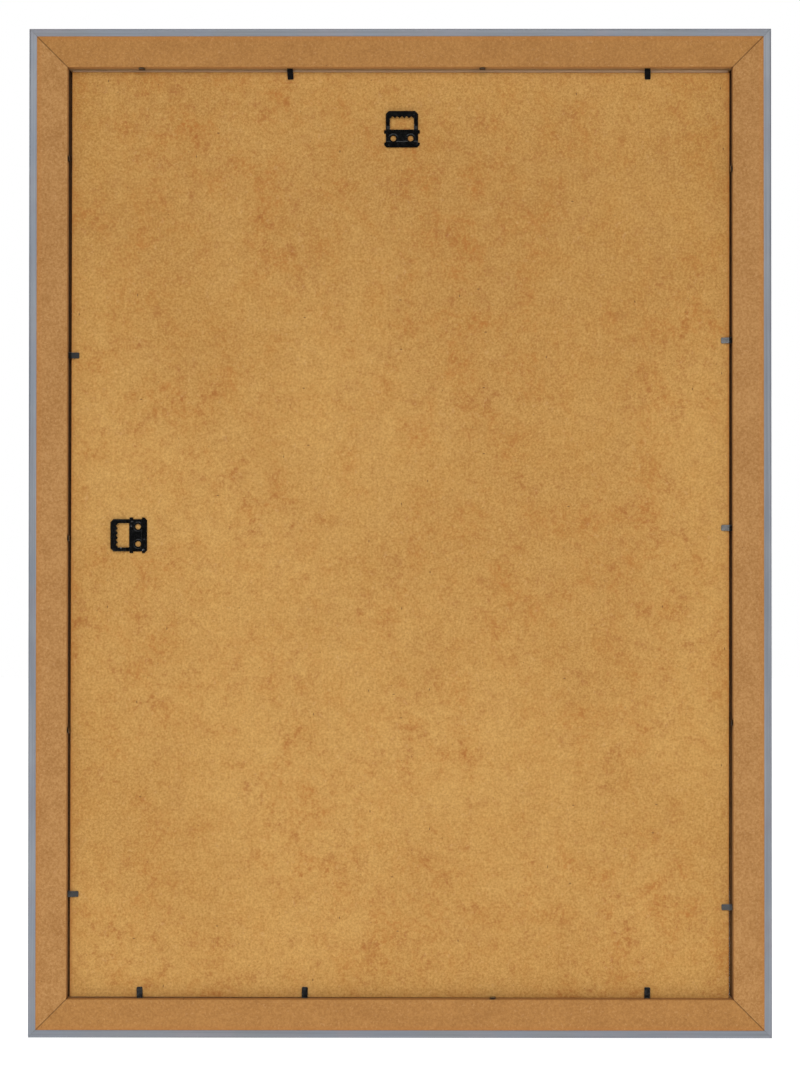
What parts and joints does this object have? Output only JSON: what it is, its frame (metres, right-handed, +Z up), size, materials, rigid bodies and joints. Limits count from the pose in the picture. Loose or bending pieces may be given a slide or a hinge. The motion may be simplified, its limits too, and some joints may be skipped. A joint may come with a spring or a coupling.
{
  "type": "picture frame",
  "caption": "Wall-hung picture frame with foil-wrapped mitred rails, a glazed front, a recessed back panel held by bendable steel tabs, and toothed hangers for portrait or landscape.",
  "frame": {"origin": "nail seat of the portrait hanger: the valley of the middle notch, in the middle of the sheet", "axes": "+Z up as the frame hangs in portrait, +Y out of the back towards the wall, -Y the picture side; +X is the frame's right as seen from the front"},
  "size_m": [0.561, 0.0201, 0.762],
  "materials": {
    "rail_board": "matte",
    "panel_board": "matte",
    "decor_foil": "satin",
    "black_steel": "satin",
    "nail_steel": "satin",
    "glass": "gloss",
    "insert_paper": "matte"
  },
  "bodies": {
    "frame": {"rail_top": "rail_board", "foil_top": "decor_foil", "rail_right": "rail_board", "foil_right": "decor_foil", "rail_bottom": "rail_board", "foil_bottom": "decor_foil", "rail_left": "rail_board", "foil_left": "decor_foil", "corner_v_nails": "nail_steel", "glazing": "glass", "insert_sheet": "insert_paper", "back_panel": "panel_board", "hanger_portrait": "black_steel", "hanger_landscape": "black_steel", "tab_roots": "black_steel"},
    "tab_top_1": {"tab_top_1": "black_steel"},
    "tab_top_2": {"tab_top_2": "black_steel"},
    "tab_top_3": {"tab_top_3": "black_steel"},
    "tab_top_4": {"tab_top_4": "black_steel"},
    "tab_right_1": {"tab_right_1": "black_steel"},
    "tab_right_2": {"tab_right_2": "black_steel"},
    "tab_right_3": {"tab_right_3": "black_steel"},
    "tab_right_4": {"tab_right_4": "black_steel"},
    "tab_right_5": {"tab_right_5": "black_steel"},
    "tab_bottom_1": {"tab_bottom_1": "black_steel"},
    "tab_bottom_2": {"tab_bottom_2": "black_steel"},
    "tab_bottom_3": {"tab_bottom_3": "black_steel"},
    "tab_bottom_4": {"tab_bottom_4": "black_steel"},
    "tab_left_1": {"tab_left_1": "black_steel"},
    "tab_left_2": {"tab_left_2": "black_steel"},
    "tab_left_3": {"tab_left_3": "black_steel"},
    "tab_left_4": {"tab_left_4": "black_steel"},
    "tab_left_5": {"tab_left_5": "black_steel"}
  },
  "joints": [
    {"name": "tab_top_1_bend", "type": "hinge", "parent": "frame", "child": "tab_top_1", "pos_m": [-0.18622, 0.00005, 0.035], "axis": [0.9998, 0, -0.0175], "range_deg": [0, 103.63]},
    {"name": "tab_top_2_bend", "type": "hinge", "parent": "frame", "child": "tab_top_2", "pos_m": [-0.06097, 0.00005, 0.035], "axis": [1, 0, 0], "range_deg": [-103.63, 0]},
    {"name": "tab_top_3_bend", "type": "hinge", "parent": "frame", "child": "tab_top_3", "pos_m": [0.0849, 0.00005, 0.035], "axis": [0.9976, 0, -0.0698], "range_deg": [0, 103.63]},
    {"name": "tab_top_4_bend", "type": "hinge", "parent": "frame", "child": "tab_top_4", "pos_m": [0.19707, 0.00005, 0.035], "axis": [0.9994, 0, 0.0349], "range_deg": [-103.63, 0]},
    {"name": "tab_right_1_bend", "type": "hinge", "parent": "frame", "child": "tab_right_1", "pos_m": [0.2516, 0.00005, -0.03269], "axis": [0, 0, -1], "range_deg": [-103.63, 0]},
    {"name": "tab_right_2_bend", "type": "hinge", "parent": "frame", "child": "tab_right_2", "pos_m": [0.2516, 0.00005, -0.18159], "axis": [-0.0175, 0, -0.9998], "range_deg": [0, 103.63]},
    {"name": "tab_right_3_bend", "type": "hinge", "parent": "frame", "child": "tab_right_3", "pos_m": [0.2516, 0.00005, -0.32028], "axis": [0.0175, 0, -0.9998], "range_deg": [-103.63, 0]},
    {"name": "tab_right_4_bend", "type": "hinge", "parent": "frame", "child": "tab_right_4", "pos_m": [0.2516, 0.00005, -0.4653], "axis": [-0.0349, 0, -0.9994], "range_deg": [-103.63, 0]},
    {"name": "tab_right_5_bend", "type": "hinge", "parent": "frame", "child": "tab_right_5", "pos_m": [0.2516, 0.00005, -0.5892], "axis": [0.0175, 0, -0.9998], "range_deg": [0, 103.63]},
    {"name": "tab_bottom_1_bend", "type": "hinge", "parent": "frame", "child": "tab_bottom_1", "pos_m": [0.19807, 0.00005, -0.6664], "axis": [-0.9994, 0, 0.0349], "range_deg": [0, 103.63]},
    {"name": "tab_bottom_2_bend", "type": "hinge", "parent": "frame", "child": "tab_bottom_2", "pos_m": [0.07333, 0.00005, -0.6664], "axis": [-0.9998, 0, -0.0175], "range_deg": [0, 103.63]},
    {"name": "tab_bottom_3_bend", "type": "hinge", "parent": "frame", "child": "tab_bottom_3", "pos_m": [-0.06877, 0.00005, -0.6664], "axis": [-0.9998, 0, 0.0175], "range_deg": [-103.63, 0]},
    {"name": "tab_bottom_4_bend", "type": "hinge", "parent": "frame", "child": "tab_bottom_4", "pos_m": [-0.18546, 0.00005, -0.6664], "axis": [-0.9994, 0, -0.0349], "range_deg": [0, 103.63]},
    {"name": "tab_left_1_bend", "type": "hinge", "parent": "frame", "child": "tab_left_1", "pos_m": [-0.2488, 0.00005, -0.59871], "axis": [0.0349, 0, 0.9994], "range_deg": [0, 103.63]},
    {"name": "tab_left_2_bend", "type": "hinge", "parent": "frame", "child": "tab_left_2", "pos_m": [-0.2488, 0.00005, -0.45932], "axis": [0, 0, 1], "range_deg": [-103.63, 0]},
    {"name": "tab_left_3_bend", "type": "hinge", "parent": "frame", "child": "tab_left_3", "pos_m": [-0.2488, 0.00005, -0.31218], "axis": [-0.0349, 0, 0.9994], "range_deg": [0, 103.63]},
    {"name": "tab_left_4_bend", "type": "hinge", "parent": "frame", "child": "tab_left_4", "pos_m": [-0.2488, 0.00005, -0.16997], "axis": [0.0175, 0, 0.9998], "range_deg": [0, 103.63]},
    {"name": "tab_left_5_bend", "type": "hinge", "parent": "frame", "child": "tab_left_5", "pos_m": [-0.2488, 0.00005, -0.04044], "axis": [0.0175, 0, 0.9998], "range_deg": [-103.63, 0]}
  ]
}
